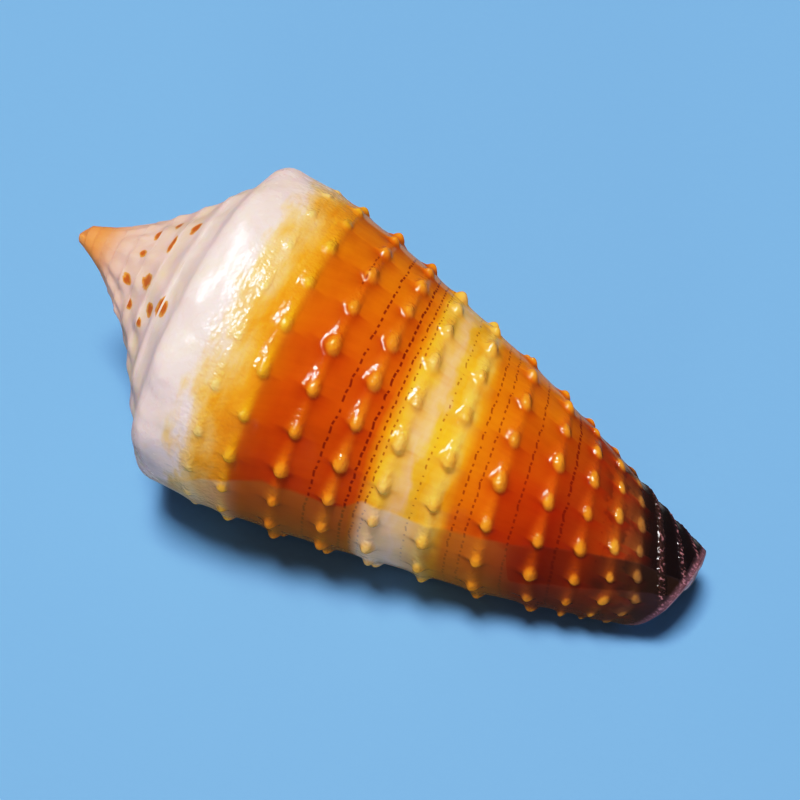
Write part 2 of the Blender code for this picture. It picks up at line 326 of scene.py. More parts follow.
def side_rows():
    """Nominal distances along the profile, close together at each row of beads."""
    rows = [SHOULDER_ALONG, 10.1, 10.3, 10.5, 10.8, 11.2, 11.7, 12.2, 12.7, 13.2]
    for row in BEAD_ROWS:
        low = row[0] - BEAD_MARGIN
        gap = low - rows[-1]
        between = max(1, round(gap / WIDE_STEP))
        rows += [rows[-1] + gap * n / between for n in range(1, between)]
        rows += [low + FINE_STEP * n for n in range(9)]
    rows = [z for z in rows if z < LAST_BEADED - 0.02]
    return np.array(rows + [LAST_BEADED + FRONT_SPAN * n / 24 for n in range(25)])


SIDE_ROWS = side_rows()
print("rows in the grid:", RAMP_STEPS + len(SIDE_ROWS))

# %% [markdown]
# A sheet is one rectangular grid of points with a value or two for the shader at each point.
# All sheets go into one list and are joined where their points meet, so the shell is a single
# smooth piece.

# %% Collecting sheets into one mesh
FIELDS = ("along", "turns", "axis", "bead", "ridge", "hollow", "rim", "inside")


class Sheets:
    """Grids of points on their way to becoming one mesh."""

    def __init__(self):
        self.points = []
        self.faces = []
        self.values = {name: [] for name in FIELDS}
        self.count = 0

    def add(self, points, flip=False, **values):
        rows, columns = points.shape[:2]
        index = self.count + np.arange(rows * columns).reshape(rows, columns)
        corners = [index[:-1, :-1], index[:-1, 1:], index[1:, 1:], index[1:, :-1]]
        if flip:
            corners.reverse()
        self.faces.append(np.stack(corners, axis=-1).reshape(-1, 4))
        self.points.append(points.reshape(-1, 3))
        values["axis"] = points[:, :, 0]
        for name in FIELDS:
            value = np.broadcast_to(values.get(name, 0.0), (rows, columns))
            self.values[name].append(value.reshape(-1))
        self.count += rows * columns


sheets = Sheets()


def outside_sheet(first, last, columns, rows):
    """The outside between two turns: ramp first, then the side rows."""
    turn = np.linspace(first, last, round((last - first) * columns) + 1)
    share = np.arange(RAMP_STEPS)[:, None] / RAMP_STEPS
    ramp_x, ramp_radius = ramp_section(share, turn[None, :])
    nominal = rows[:, None] + 0.0 * turn[None, :]
    x, radius, along, bead, ridge, hollow = side_section(nominal, turn[None, :] + 0.0 * nominal)
    blank = np.zeros_like(ramp_x)
    ramp_along = RAMP_FROM + (SHOULDER_ALONG - RAMP_FROM) * share + blank
    points = in_space(np.vstack([ramp_x, x]), np.vstack([ramp_radius, radius]), turn[None, :])
    kept = np.where(nominal > rows[-1] - 6.5, along, nominal)
    sheets.add(
        points,
        along=np.vstack([ramp_along, kept]),
        turns=turn[None, :],
        bead=np.vstack([blank, bead]),
        ridge=np.vstack([blank, ridge]),
        hollow=np.vstack([blank, hollow]),
        rim=np.vstack([blank, smooth(1.0 - (front_along(turn[None, :]) - along) / RIM_WIDTH)]),
    )
    return points


SPIRE_ROWS = SIDE_ROWS[:5]
last_whorl = outside_sheet(-1.0, 0.0, COLUMNS, SIDE_ROWS)
outside_sheet(-2.5, -1.0, COLUMNS, SPIRE_ROWS)
outside_sheet(-4.5, -2.5, COLUMNS // 2, SPIRE_ROWS)
outside_sheet(TIP_TURN, -4.5, COLUMNS // 4, SPIRE_ROWS)
print("points outside:", sheets.count)

# %% [markdown]
# Behind the lip the shell is hollow.
# The wall is thin at the lip and thicker further in, and inside it winds round the older whorl.
# A solidify modifier would run through that older whorl, so the inside is laid down as its own
# sheet and kept clear of it.

# %% Inside of the lip
LIP_THICKNESS = 0.7
WALL_THICKNESS = 1.2
HOLLOW_TURNS = 0.75
PILLAR_GAP = 0.25
INNER_STEP = 4
INNER_ALONG = 12.4
PALE_ALONG = 12.0


def pillar_radius(x, turn):
    """Radius of the older whorl at this distance along the axis."""
    along = SHOULDER_X + (x - shoulder_x(turn)) / LENGTH_GROWTH**turn
    along = np.maximum(along, PROFILE[0][0])
    return profile_radius(along) * radius_scale(along, turn)


def bare_section(turn):
    """The outside with neither beads nor lumps, as axis distance and radius."""
    share = np.arange(1, RAMP_STEPS)[:, None] / RAMP_STEPS
    ramp_x, ramp_radius = ramp_section(share, turn[None, :])
    along = squeezed(SIDE_ROWS[:, None] + 0.0 * turn[None, :], turn[None, :])
    radius = profile_radius(along) * radius_scale(along, turn[None, :])
    x = axis_x(along, turn[None, :])
    return np.vstack([ramp_x, x]), np.vstack([ramp_radius, radius])


def inside_section(turn):
    """Inside of the wall, with the first point on the older whorl."""
    x, radius = bare_section(turn)
    slope_x = np.gradient(x, axis=0)
    slope_radius = np.gradient(radius, axis=0)
    length = np.hypot(slope_x, slope_radius)
    inward_x = slope_radius / length
    inward_radius = -slope_x / length
    inward_x[-1] = 0.0
    inward_radius[-1] = -1.0
    wall = LIP_THICKNESS + (WALL_THICKNESS - LIP_THICKNESS) * smooth(-turn / HOLLOW_TURNS)
    x = x + inward_x * wall
    radius = radius + inward_radius * wall
    radius = np.maximum(radius, pillar_radius(x, turn - 1.0) + PILLAR_GAP)
    root_x = axis_x(INNER_ALONG, turn - 1.0)
    root_radius = profile_radius(INNER_ALONG) * radius_scale(INNER_ALONG, turn - 1.0)
    return np.vstack([root_x, x]), np.vstack([root_radius, radius])


deep_turns = np.linspace(-HOLLOW_TURNS, 0.0, round(HOLLOW_TURNS * COLUMNS) + 1)
inner_x, inner_radius = inside_section(deep_turns)
inner_points = in_space(inner_x, inner_radius, deep_turns[None, :])
picked = list(range(0, len(inner_points) - 1, 2)) + [len(inner_points) - 1]
coarse = inner_points[picked][:, ::INNER_STEP]
coarse_turns = deep_turns[None, ::INNER_STEP]
sheets.add(coarse, flip=True, along=PALE_ALONG, turns=coarse_turns, inside=1.0)

floor_turns = deep_turns[None, ::INNER_STEP] - 1.0
floor_rows = [np.linspace(INNER_ALONG, 41.0, 32), np.linspace(41.5, 47.53, 10)]
floor_rows = np.concatenate(floor_rows)[:, None] + 0.0 * floor_turns
floor_along = squeezed(floor_rows, floor_turns)
floor_radius = profile_radius(floor_along) * radius_scale(floor_along, floor_turns)
floor_points = in_space(axis_x(floor_along, floor_turns), floor_radius, floor_turns)
sheets.add(floor_points, along=PALE_ALONG, turns=floor_turns, inside=1.0)
print("points with the hollow:", sheets.count)

# %% [markdown]
# The lip and the front rim are rounded edges between the outside and the inside of the wall.
# Each is a strip of a few rows that bulges outward like half an ellipse, which catches the light
# along the edge.

# %% Rounded edges
EDGE_STEPS = 6
growing = in_space(0.0, 1.0, 0.25)
forward = np.array((1.0, 0.0, 0.0))


def rounded_strip(outer, inner, away, turns, flip):
    """Half an ellipse from the outer chain of points to the inner chain."""
    middle = (outer + inner) / 2.0
    reach = 0.3 * np.linalg.norm(outer - inner, axis=1)[:, None] * away
    angle = np.linspace(0.0, math.pi, EDGE_STEPS + 1)[:, None, None]
    points = middle + (outer - middle) * np.cos(angle) + reach * np.sin(angle)
    share = np.broadcast_to(angle[:, :, 0] / math.pi, points.shape[:2])
    sheets.add(points, flip=flip, along=44.0, turns=turns, rim=1.0, inside=0.2 + 0.8 * share)


lip_outer = last_whorl[:, -1]
lip_inner = inner_points[:, -1]
lip_away = np.repeat(growing[None, :], len(lip_outer), axis=0)
lip_away[-1] = (growing + forward) / 1.4
rounded_strip(lip_outer, lip_inner, lip_away, 0.0, flip=True)

rim_outer = last_whorl[-1, -len(deep_turns):]
rim_inner = inner_points[-1]
rim_away = np.repeat(forward[None, :], len(rim_outer), axis=0)
rim_away[-1] = (growing + forward) / 1.4
rounded_strip(rim_outer, rim_inner, rim_away, deep_turns[None, :], flip=False)
print("points with the edges:", sheets.count)

# %% [markdown]
# Deep inside, one sheet closes the hollow, and the pillar in the middle ends in a small rounded
# cap.
# Nobody sees them from the usual side, but the shell has to be finished from below too.

# %% Back wall and the end of the pillar
back_from = inner_points[:, 0]
spread = np.linspace(0.0, 1.0, len(back_from))
floor_first = floor_points[:, 0]
floor_share = np.linspace(0.0, 1.0, len(floor_first))
back_to = np.stack([np.interp(spread, floor_share, floor_first[:, n]) for n in range(3)], axis=-1)
back_share = np.linspace(0.0, 1.0, 5)[:, None, None]
back_points = back_from + (back_to - back_from) * back_share
sheets.add(back_points, along=PALE_ALONG, turns=-HOLLOW_TURNS, inside=1.0)

pillar_old = floor_points[-1]
pillar_new = last_whorl[-1, : COLUMNS - len(deep_turns) + 2]
pillar_ring = np.concatenate([pillar_old[:-1], pillar_new, rim_inner[:1]])
pillar_tip = pillar_ring.mean(axis=0)
pillar_tip[0] = FRONT_X + 0.1
cap_share = np.linspace(0.0, 1.0, 6)[:, None, None]
cap = pillar_ring + (pillar_tip - pillar_ring) * cap_share
cap[:, :, 0] += 0.3 * np.sqrt(cap_share[:, :, 0] * (2.0 - cap_share[:, :, 0]))
cap = np.concatenate([cap, cap[:, :1]], axis=1)
sheets.add(cap, along=45.0, turns=-0.8, inside=0.5)
print("points with the back wall and the cap:", sheets.count)

# %% [markdown]
# The sheets are still in the shell's own frame, with the axis along X and millimetres.
# The shell rests on its aperture, so it is rolled about its axis and then tipped until the spire
# meets the table.
# The same turn and shift as in the packed model bring it to its place.

# %% Lay the shell down and make the mesh
ROLL = 115.93
PITCH = 11.98
TIP_AT = np.array((-20.489, 0.591, 11.339))
MM = 0.001


def rest_turn():
    about_axis = Matrix.Rotation(math.radians(ROLL), 3, "X")
    about_side = Matrix.Rotation(math.radians(PITCH), 3, "Y")
    return np.array(about_side @ about_axis)


def join_sheets():
    """One mesh object, with points that coincide made one."""
    points = np.concatenate(sheets.points)
    faces = np.concatenate(sheets.faces)
    values = {name: np.concatenate(sheets.values[name]) for name in FIELDS}
    keys = np.round(points, 4)
    _, first, index = np.unique(keys, axis=0, return_index=True, return_inverse=True)
    index = index.reshape(-1)
    faces = index[faces]
    placed = (points[first] @ rest_turn().T + TIP_AT) * MM
    polygons = []
    for face in faces.tolist():
        kept = [v for n, v in enumerate(face) if v != face[n - 1]]
        if len(set(kept)) > 2:
            polygons.append(kept)
    mesh = bpy.data.meshes.new("glazed_shell")
    mesh.from_pydata(placed.tolist(), [], polygons)
    mesh.update()
    for name in FIELDS:
        layer = mesh.attributes.new(name, "FLOAT", "POINT")
        layer.data.foreach_set("value", values[name][first].astype(np.float32))
    mesh.shade_smooth()
    shell = bpy.data.objects.new("glazed_shell", mesh)
    bpy.context.scene.collection.objects.link(shell)
    return shell


shell = join_sheets()
shell.data.calc_loop_triangles()
print("triangles:", len(shell.data.loop_triangles))

# %% [markdown]
# Shader sums are easier to read as plain sums.
# This small class wraps a socket: adding, taking away or multiplying wraps makes the Math nodes
# for it.
# Every other kind of node comes from one method, which sets the node's settings first and then
# its sockets.

# %% A socket that can be added and multiplied


class Wire:
    """One output of a node in a material."""

    def __init__(self, tree, socket=None):
        self.tree = tree
        self.socket = socket

    def node(self, kind, settings=None, sockets=None, out=0):
        made = self.tree.nodes.new("ShaderNode" + kind)
        for name, value in (settings or {}).items():
            if name == "stops":
                self.set_stops(made.color_ramp, value)
            else:
                setattr(made, name, value)
        for name, value in (sockets or {}).items():
            if isinstance(value, Wire):
                self.tree.links.new(value.socket, made.inputs[name])
            else:
                made.inputs[name].default_value = value
        return Wire(self.tree, made.outputs[out])

    @staticmethod
    def set_stops(ramp, stops):
        while len(ramp.elements) < len(stops):
            ramp.elements.new(0.5)
        for element, (place, colour) in zip(ramp.elements, stops):
            element.position = place
            element.color = colour

    def maths(self, operation, *others):
        return self.node("Math", {"operation": operation}, dict(enumerate((self, *others))))

    def __add__(self, other):
        return self.maths("ADD", other)

    def __radd__(self, other):
        return self.maths("ADD", other)

    def __sub__(self, other):
        return self.maths("SUBTRACT", other)

    def __rsub__(self, other):
        return self.node("Math", {"operation": "SUBTRACT"}, {0: other, 1: self})

    def __mul__(self, other):
        return self.maths("MULTIPLY", other)

    def __rmul__(self, other):
        return self.maths("MULTIPLY", other)

    def __truediv__(self, other):
        return self.maths("DIVIDE", other)


print("methods of a wire:", [name for name, what in vars(Wire).items() if callable(what)])

# %% [markdown]
# Most of the glaze is one colour laid over another through a mask, like washes of paint.
# A mask is a smooth step on some distance, and a stretch is a step up followed by a step down.
# Colours are blended with a Mix node, because a Math node would turn them grey.

# %% Masks, blends and paint


def ease(value, low, high):
    """0 below low, 1 above high, and a smooth step between."""
    return value.node(
        "MapRange",
        {"interpolation_type": "SMOOTHSTEP"},
        {0: value, 1: low, 2: high, 3: 0.0, 4: 1.0},
    )


def fading(value, low, high):
    """1 below low, 0 above high."""
    return 1.0 - ease(value, low, high)


def stretch(value, low, full, fall, end):
    """0 outside low and end, 1 between full and fall."""
    return ease(value, low, full) * fading(value, fall, end)


def mix(first, second, amount, blend="MIX"):
    """Blend of two colours."""
    settings = {"data_type": "RGBA", "blend_type": blend}
    return amount.node("Mix", settings, {0: amount, 6: first, 7: second}, out=2)


def paint(red, green, blue):
    """A colour as a picture editor shows it, made linear for the shader."""
    linear = []
    for value in (red, green, blue):
        share = value / 255.0
        linear.append(share / 12.92 if share <= 0.04045 else ((share + 0.055) / 1.055) ** 2.4)
    return (*linear, 1.0)


print("orange of the middle bands, linear:", [round(c, 3) for c in paint(206, 86, 6)[:3]])

# %% [markdown]
# The glaze reads what the mesh carries at each point: the distance along the profile, the turn,
# and how far the point is bead, ridge, hollow, rim or inside.
# So the colours are painted on the whorl as if it were unrolled, and no picture or UV map is
# needed.
# Noise made from the unrolled place is stretched along or across the whorl, as the growth of the
# shell is.

# %% The glaze and the unrolled whorl
glaze = bpy.data.materials.new("glazed_shell")
glaze.use_nodes = True
glaze_tree = glaze.node_tree
start = Wire(glaze_tree)
field = {name: start.node("Attribute", {"attribute_name": name}, out="Fac") for name in FIELDS}
along = field["along"]
turns = field["turns"]


def unrolled_noise(first, second, detail):
    """Soft noise between 0 and 1 from two distances on the unrolled whorl."""
    place = start.node("CombineXYZ", None, {0: first, 1: second})
    settings = {"noise_dimensions": "2D"}
    return start.node("TexNoise", settings, {"Vector": place, "Scale": 1.0, "Detail": detail})


wander = unrolled_noise(along * 0.12, turns * 14.0, 3.0)
patch = unrolled_noise(along * 0.8, turns * 21.0, 3.0)
print("fields on the mesh:", ", ".join(FIELDS))

# %% [markdown]
# The bands of colour follow the whorl: white shoulder, two orange belts with a cream one between,
# dark front.
# A colour ramp turns the distance along the profile into colour, and each row of it is a distance
# and the colour there as a picture editor shows it.
# Before that the distance is shaken a little, and most where white meets yellow, because the real
# edges are patchy there, and again in the cream belt, where yellow blots lie round the beads.

# %% Bands along the whorl
BANDS = (
    (8.0, (250, 218, 212)),
    (12.3, (252, 222, 212)),
    (13.3, (251, 204, 148)),
    (14.4, (250, 188, 100)),
    (15.3, (247, 166, 44)),
    (16.2, (238, 140, 14)),
    (16.8, (218, 108, 8)),
    (17.8, (208, 88, 6)),
    (22.0, (206, 86, 6)),
    (23.6, (212, 92, 8)),
    (24.2, (240, 148, 16)),
    (24.8, (253, 194, 48)),
    (25.6, (252, 196, 104)),
    (26.3, (252, 200, 140)),
    (26.9, (250, 190, 60)),
    (27.5, (253, 182, 34)),
    (28.4, (254, 204, 96)),
    (28.9, (250, 168, 30)),
    (29.4, (234, 132, 12)),
    (31.5, (228, 110, 10)),
    (31.95, (194, 70, 6)),
    (34.5, (184, 62, 6)),
    (35.3, (160, 46, 8)),
    (37.2, (166, 64, 12)),
    (38.6, (164, 66, 14)),
    (39.4, (156, 72, 24)),
    (40.2, (134, 72, 34)),
    (41.0, (66, 32, 20)),
    (41.8, (40, 22, 20)),
    (43.5, (26, 15, 17)),
    (48.0, (30, 19, 23)),
)
BAND_FROM = 8.0
BAND_SPAN = 40.0
PATCH_REACH = 4.6
BLOT_REACH = 2.2


def band_share(distance):
    """Place on the colour ramp, from 0 at the spire to 1 past the front."""
    return (distance - BAND_FROM) / BAND_SPAN


def painted(colours, distance):
    """Colour ramp along the whorl."""
    stops = [(band_share(z), paint(*shown)) for z, shown in colours]
    return start.node("ValToRGB", {"stops": stops}, {"Fac": band_share(distance)})


patchy = (patch - 0.5) * PATCH_REACH * stretch(along, 10.6, 12.5, 14.0, 16.6)
blotted = (patch - 0.5) * BLOT_REACH * stretch(along, 24.0, 25.0, 28.4, 29.4)
colour = painted(BANDS, along + (wander - 0.5) * 0.5 + patchy + blotted)
print("bands:", len(BANDS))

# %% [markdown]
# The orange isn't painted the same all the way round.
# The upper far side of the last whorl is painted lighter and more golden, which is painted light.
# The lower side is painted a darker, deeper red, which is painted shade.
# Near the dark front brown stains reach up between the ridges.
# Each is one more wash over the bands, with its own mask on the turn or on the distance.

# %% Painted light above, painted shade below, and stains on the whorl
cream_belt = stretch(along, 23.6, 24.6, 28.8, 29.6)
orange = ease(along, 15.6, 17.2) * (1.0 - cream_belt)
# Painted light: the upper far side, the oldest part of the last whorl, is painted more golden.
far_side_glow = fading(turns + (wander - 0.5) * 0.08, -0.46, -0.26) * orange * fading(along, 34.0, 38.0)
colour = mix(colour, paint(246, 148, 12), far_side_glow * 0.62)

# Painted shade: the lower side, the newest part of the last whorl, is painted darker and redder.
lower_side_shade = ease(turns + (wander - 0.5) * 0.05, -0.27, -0.17)
lower_side_shade = lower_side_shade * (ease(along, 14.0, 15.5) * 0.25 + orange * 0.75)
colour = mix(colour, (0.86, 0.58, 0.5, 1.0), lower_side_shade * 0.9, "MULTIPLY")

stains = ease(patch, 0.47, 0.6) * stretch(along, 37.6, 39.0, 41.0, 42.0)
colour = mix(colour, paint(46, 26, 20), stains * 0.6 * (1.0 - field["ridge"] * 0.7))
print("nodes so far:", len(glaze_tree.nodes))

# %% [markdown]
# Ridges and beads are paler than the ground between them, because the glaze there is thick and
# clear.
# Just past each bead the ground is deeper red.
# This is partly its own colour and partly painted shade on the side of the bead away from the
# light.
# The same fields that shaped the relief now place the colour, so the two can't slip apart.

# %% Paler ridges, golden beads, and deep red with painted shade past each bead
RIDGE_COLOURS = (
    (13.0, (252, 214, 150)),
    (14.1, (251, 190, 92)),
    (16.3, (248, 172, 24)),
    (18.0, (236, 134, 16)),
    (19.4, (230, 118, 14)),
    (22.4, (242, 138, 26)),
    (24.2, (248, 180, 60)),
    (25.2, (253, 184, 70)),
    (28.3, (255, 204, 92)),
    (30.0, (238, 140, 20)),
    (31.5, (234, 124, 16)),
    (34.7, (232, 112, 20)),
    (37.3, (214, 100, 20)),
    (39.35, (206, 108, 24)),
    (40.4, (170, 98, 40)),
    (41.4, (112, 68, 44)),
    (42.6, (60, 38, 36)),
    (44.0, (46, 28, 32)),
)
BEAD_COLOURS = (
    (14.1, (252, 208, 128)),
    (16.3, (252, 180, 44)),
    (19.4, (249, 154, 38)),
    (22.4, (249, 152, 40)),
    (25.2, (254, 194, 100)),
    (28.3, (254, 184, 72)),
    (31.5, (250, 160, 44)),
    (37.3, (250, 160, 42)),
    (39.35, (246, 170, 60)),
    (40.4, (214, 148, 64)),
    (41.2, (166, 116, 62)),
    (43.0, (130, 90, 70)),
)
OVERLAY = 0.85

# Past each bead: deep red, partly the shell's colour and partly painted shade.
past_bead_red_and_shade = field["hollow"] * fading(along, 39.5, 42.5) * ease(along, 15.0, 18.0) * 0.65
past_bead_tone = mix(paint(242, 166, 66), paint(170, 34, 4), orange)
colour = mix(colour, past_bead_tone, past_bead_red_and_shade)
ridge_mask = ease(field["ridge"], 0.15, 0.95) * OVERLAY * ease(along, 12.8, 15.5)
colour = mix(colour, painted(RIDGE_COLOURS, along), ridge_mask)
colour = mix(colour, painted(BEAD_COLOURS, along), ease(field["bead"], 0.05, 0.9) * OVERLAY)
print("ridge and bead colours:", len(RIDGE_COLOURS), len(BEAD_COLOURS))

# %% [markdown]
# Fine dotted lines run round the whorl between the beads.
# They are colour under the glaze and have no relief, so they are drawn in the shader.
# Each line is a narrow band across the profile, cut into dots by the fractional part of the turn.
# A row gives its place, half its width, the degrees from dot to dot, half the dark share, and its
# strength.

# %% Dotted lines
DOTTED = (
    (19.1, 0.06, 2.6, 0.30, 0.7),
    (21.15, 0.075, 3.0, 0.32, 0.9),
    (23.35, 0.08, 2.9, 0.34, 0.95),
    (24.0, 0.065, 2.7, 0.28, 0.85),
    (24.5, 0.06, 2.8, 0.24, 0.7),
    (27.1, 0.06, 3.4, 0.16, 0.6),
    (29.65, 0.065, 3.2, 0.28, 0.7),
    (30.45, 0.065, 3.1, 0.28, 0.7),
    (33.0, 0.07, 3.3, 0.32, 0.75),
    (35.85, 0.09, 3.4, 0.36, 0.9),
    (38.4, 0.06, 7.0, 0.08, 0.4),
)
SHORT_LINE = 19.1


def dotted_line(z, half, spacing, duty):
    """Mask of one broken line at this distance along the profile."""
    drift_at = {"W": turns * 60.0 + z * 7.0, "Scale": 1.0, "Detail": 1.0}
    drift = start.node("TexNoise", {"noise_dimensions": "1D"}, drift_at)
    across = (along - z + (drift - 0.5) * 0.25).maths("ABSOLUTE")
    count = turns * (360.0 / spacing) + drift * 1.2 + z * 3.1
    dot = (count.maths("FRACT") - 0.5).maths("ABSOLUTE")
    dark = duty + (drift - 0.5) * 0.5
    return fading(across, half * 0.4, half * 1.5) * fading(dot - dark, -0.09, 0.07)


lines = None
for z, half, spacing, duty, strength in DOTTED:
    one = dotted_line(z, half, spacing, duty) * strength
    if z == SHORT_LINE:
        one = one * stretch(turns, -0.445, -0.43, -0.385, -0.375)
    lines = one if lines is None else lines.maths("MAXIMUM", one)
lines = lines * ease(turns, -0.98, -0.9)
colour = mix(colour, paint(124, 26, 6), lines * 0.94)
print("dotted lines:", len(DOTTED))

# %% [markdown]
# The spire is pinkish cream, with yellow flames where one whorl meets the next, and turns peach
# at the tip.
# The flames are noise drawn out across the whorl, and the peach goes by the distance from the
# tip.

# %% Spire colours
flame = unrolled_noise(turns * 26.0, along * 0.35, 2.0)
suture_glow = fading((along - 8.6).maths("ABSOLUTE"), 0.1, 0.7) * 0.35
yellow = (ease(flame, 0.5, 0.68) * 0.3 + suture_glow) * fading(along, 12.5, 15.5)
yellow = yellow * (1.0 - ease(turns, -0.9, -0.6) * 0.5)
colour = mix(colour, paint(252, 224, 160), yellow)
colour = mix(colour, paint(240, 192, 172), fading(field["axis"], 3.0, 10.0) * 0.9)
colour = mix(colour, paint(238, 154, 84), fading(field["axis"], 1.2, 3.7))
print("nodes so far:", len(glaze_tree.nodes))

# %% [markdown]
# A few rust spots lie on the spire.
# They are few and each has its own place, so each is a soft ellipse on the unrolled whorl rather
# than noise.
# A row gives the turn, the place along the profile, and how far the spot reaches each way.
# A little noise makes its edge ragged, and the ochre rim is the outer part of its mask.

# %% Rust spots
SPOTS = (
    (-2.41, 9.2, 0.016, 0.24),
    (-1.38, 9.1, 0.011, 0.30),
    (-2.35, 9.9, 0.017, 0.28),
    (-3.38, 9.85, 0.015, 0.3),
    (-3.32, 9.45, 0.011, 0.35),
    (-3.24, 9.1, 0.013, 0.55),
    (-2.27, 9.45, 0.014, 0.55),
    (-1.26, 10.45, 0.013, 0.55),
    (-0.26, 8.5, 0.009, 0.30),
    (-1.24, 9.0, 0.009, 0.40),
    (-2.20, 8.5, 0.010, 0.32),
    (-1.21, 8.5, 0.007, 0.28),
    (-3.00, 8.6, 0.016, 0.40),
    (-1.62, 8.8, 0.010, 0.40),
    (-1.85, 9.5, 0.013, 0.30),
    (-2.66, 9.2, 0.014, 0.40),
    (-2.88, 9.8, 0.018, 0.30),
    (-1.05, 9.0, 0.010, 0.40),
    (-3.70, 9.3, 0.022, 0.40),
    (-1.72, 10.1, 0.010, 0.40),
    (-2.05, 8.9, 0.012, 0.35),
)
RAGGED = 1.6
ragged = (unrolled_noise(turns * 90.0, along * 2.2, 2.0) - 0.5) * RAGGED
spots = None
for turn_at, z_at, wide, tall in SPOTS:
    round_way = (turns - turn_at) / wide
    up_way = (along - z_at) / tall
    one = fading(round_way * round_way + up_way * up_way + ragged, 0.2, 1.5)
    spots = one if spots is None else spots.maths("MAXIMUM", one)
colour = mix(colour, paint(234, 156, 48), ease(spots, 0.0, 0.35) * 0.92)
colour = mix(colour, paint(204, 92, 16), ease(spots, 0.6, 1.0) * 0.85)
print("spots:", len(SPOTS))

# %% [markdown]
# Growth lines: each day's edge leaves a faint line across the whorl, and the glaze clouds a
# little in between.
# The lines lean, because the shoulder of the lip runs ahead of the rest, so the turn is shifted
# near it.
# Both only darken the colour, which is what Mix in its multiply mode does.

# %% Growth lines and clouds
age = turns - 0.12 * ((along - 9.6) * -0.2).maths("EXPONENT")
growth = unrolled_noise(age * 130.0, along * 0.3, 3.0)
surface_at = start.node("TexCoord", None, None, out="Object")


def surface_noise(scale, detail):
    """Noise in the shell's own space, the same size everywhere."""
    return start.node("TexNoise", None, {"Vector": surface_at, "Scale": scale, "Detail": detail})


cloud = ease(surface_noise(360.0, 3.0), 0.36, 0.6)
cloud_tone = mix((0.82, 0.74, 0.7, 1.0), (1.04, 1.04, 1.04, 1.0), cloud)
colour = mix(colour, cloud_tone, 0.15 + 0.3 * ease(along, 14.0, 17.0), "MULTIPLY")
line_tone = mix((0.9, 0.82, 0.76, 1.0), (1.0, 1.0, 1.0, 1.0), ease(growth, 0.3, 0.65))
colour = mix(colour, line_tone, 0.12 + 0.24 * ease(along, 13.0, 17.0), "MULTIPLY")
print("nodes so far:", len(glaze_tree.nodes))

# %% [markdown]
# On the lower side, along the lip, a dull reflection of the floor is painted into the colour.
# It has a clear edge where the surface turns toward the floor.
# That edge isn't at one turn: it runs further back toward the front of the shell.
# A ramp of greys holds it as a number that changes along the whorl, and a step on the turn makes
# the mask.
# Toward the front the painted part splits into a dark red painted shade and a painted reflection
# at the very edge.

# %% Painted reflection and shade on the lower side
REFLECTION_EDGE = (
    (9.6, 0.048),
    (14.8, 0.128),
    (18.5, 0.158),
    (23.3, 0.164),
    (24.2, 0.184),
    (27.3, 0.178),
    (31.0, 0.192),
    (33.0, 0.198),
    (37.7, 0.23),
    (41.1, 0.253),
)
FRONT_REFLECTION_EDGE = ((33.0, 0.19), (33.5, 0.125), (38.0, 0.158), (40.0, 0.178), (43.0, 0.2))


def strip(edge):
    """Mask of the lower side past this edge, given as turns back from the lip."""
    stops = [(band_share(z), (value, value, value, 1.0)) for z, value in edge]
    back = start.node("ValToRGB", {"stops": stops}, {"Fac": band_share(along)})
    return ease(turns + back + (wander - 0.5) * 0.02, -0.003, 0.004) * (1.0 - field["inside"])


# Painted reflection and shade: masks of the lower side along the lip.
lower_side_zone = strip(REFLECTION_EDGE)
front_reflection_zone = strip(FRONT_REFLECTION_EDGE)
front_shade_zone = lower_side_zone * ease(along, 31.6, 34.6)
floor_reflection_zone = lower_side_zone * (1.0 - front_shade_zone) + front_reflection_zone * front_shade_zone
knobs = 1.0 - ease(field["bead"], 0.1, 0.8) * 0.75
print("points on the edge of the strip:", len(REFLECTION_EDGE) + len(FRONT_REFLECTION_EDGE))

# %% [markdown]
# The painted floor reflection takes the colour of the band beneath it, only duller: tan on
# orange, grey on cream, brown at the front. In front, a dark red-brown painted shade comes first.
# Its tone is therefore blended along the whorl, and the beads are left out so that they stay
# golden.

# %% Colours of the painted shade and reflection
# Painted shade: the dark front of the lower side is painted red-brown.
front_shade_brown = ease(along, 37.4, 39.2)
painted_shade_tone = mix(paint(70, 26, 14), paint(52, 32, 24), front_shade_brown)
painted_shade_share = front_shade_zone * (1.0 - front_reflection_zone) * knobs * (0.48 + 0.3 * front_shade_brown)
colour = mix(colour, painted_shade_tone, painted_shade_share * (1.0 - field["ridge"] * 0.5))

# Painted floor reflection: a duller tone of the band beneath.
floor_reflection_tone = mix(paint(210, 192, 166), paint(150, 116, 46), ease(along, 15.5, 17.5))
floor_reflection_tone = mix(floor_reflection_tone, paint(216, 200, 190), stretch(along, 23.8, 24.6, 26.6, 29.0))
floor_reflection_tone = mix(floor_reflection_tone, paint(80, 58, 42), ease(along, 31.5, 34.5))
floor_reflection_tone = mix(floor_reflection_tone, paint(88, 64, 70), ease(along, 39.5, 42.5))
colour = mix(colour, floor_reflection_tone, floor_reflection_zone * knobs * (0.42 + 0.25 * ease(age, -0.165, -0.06)))
print("nodes so far:", len(glaze_tree.nodes))

# %% [markdown]
# On the dark front the crests of the cords carry painted pink glints, and the rim is pink, with
# the same painted glints on it.
# Behind the lip the wall is pale and plain.

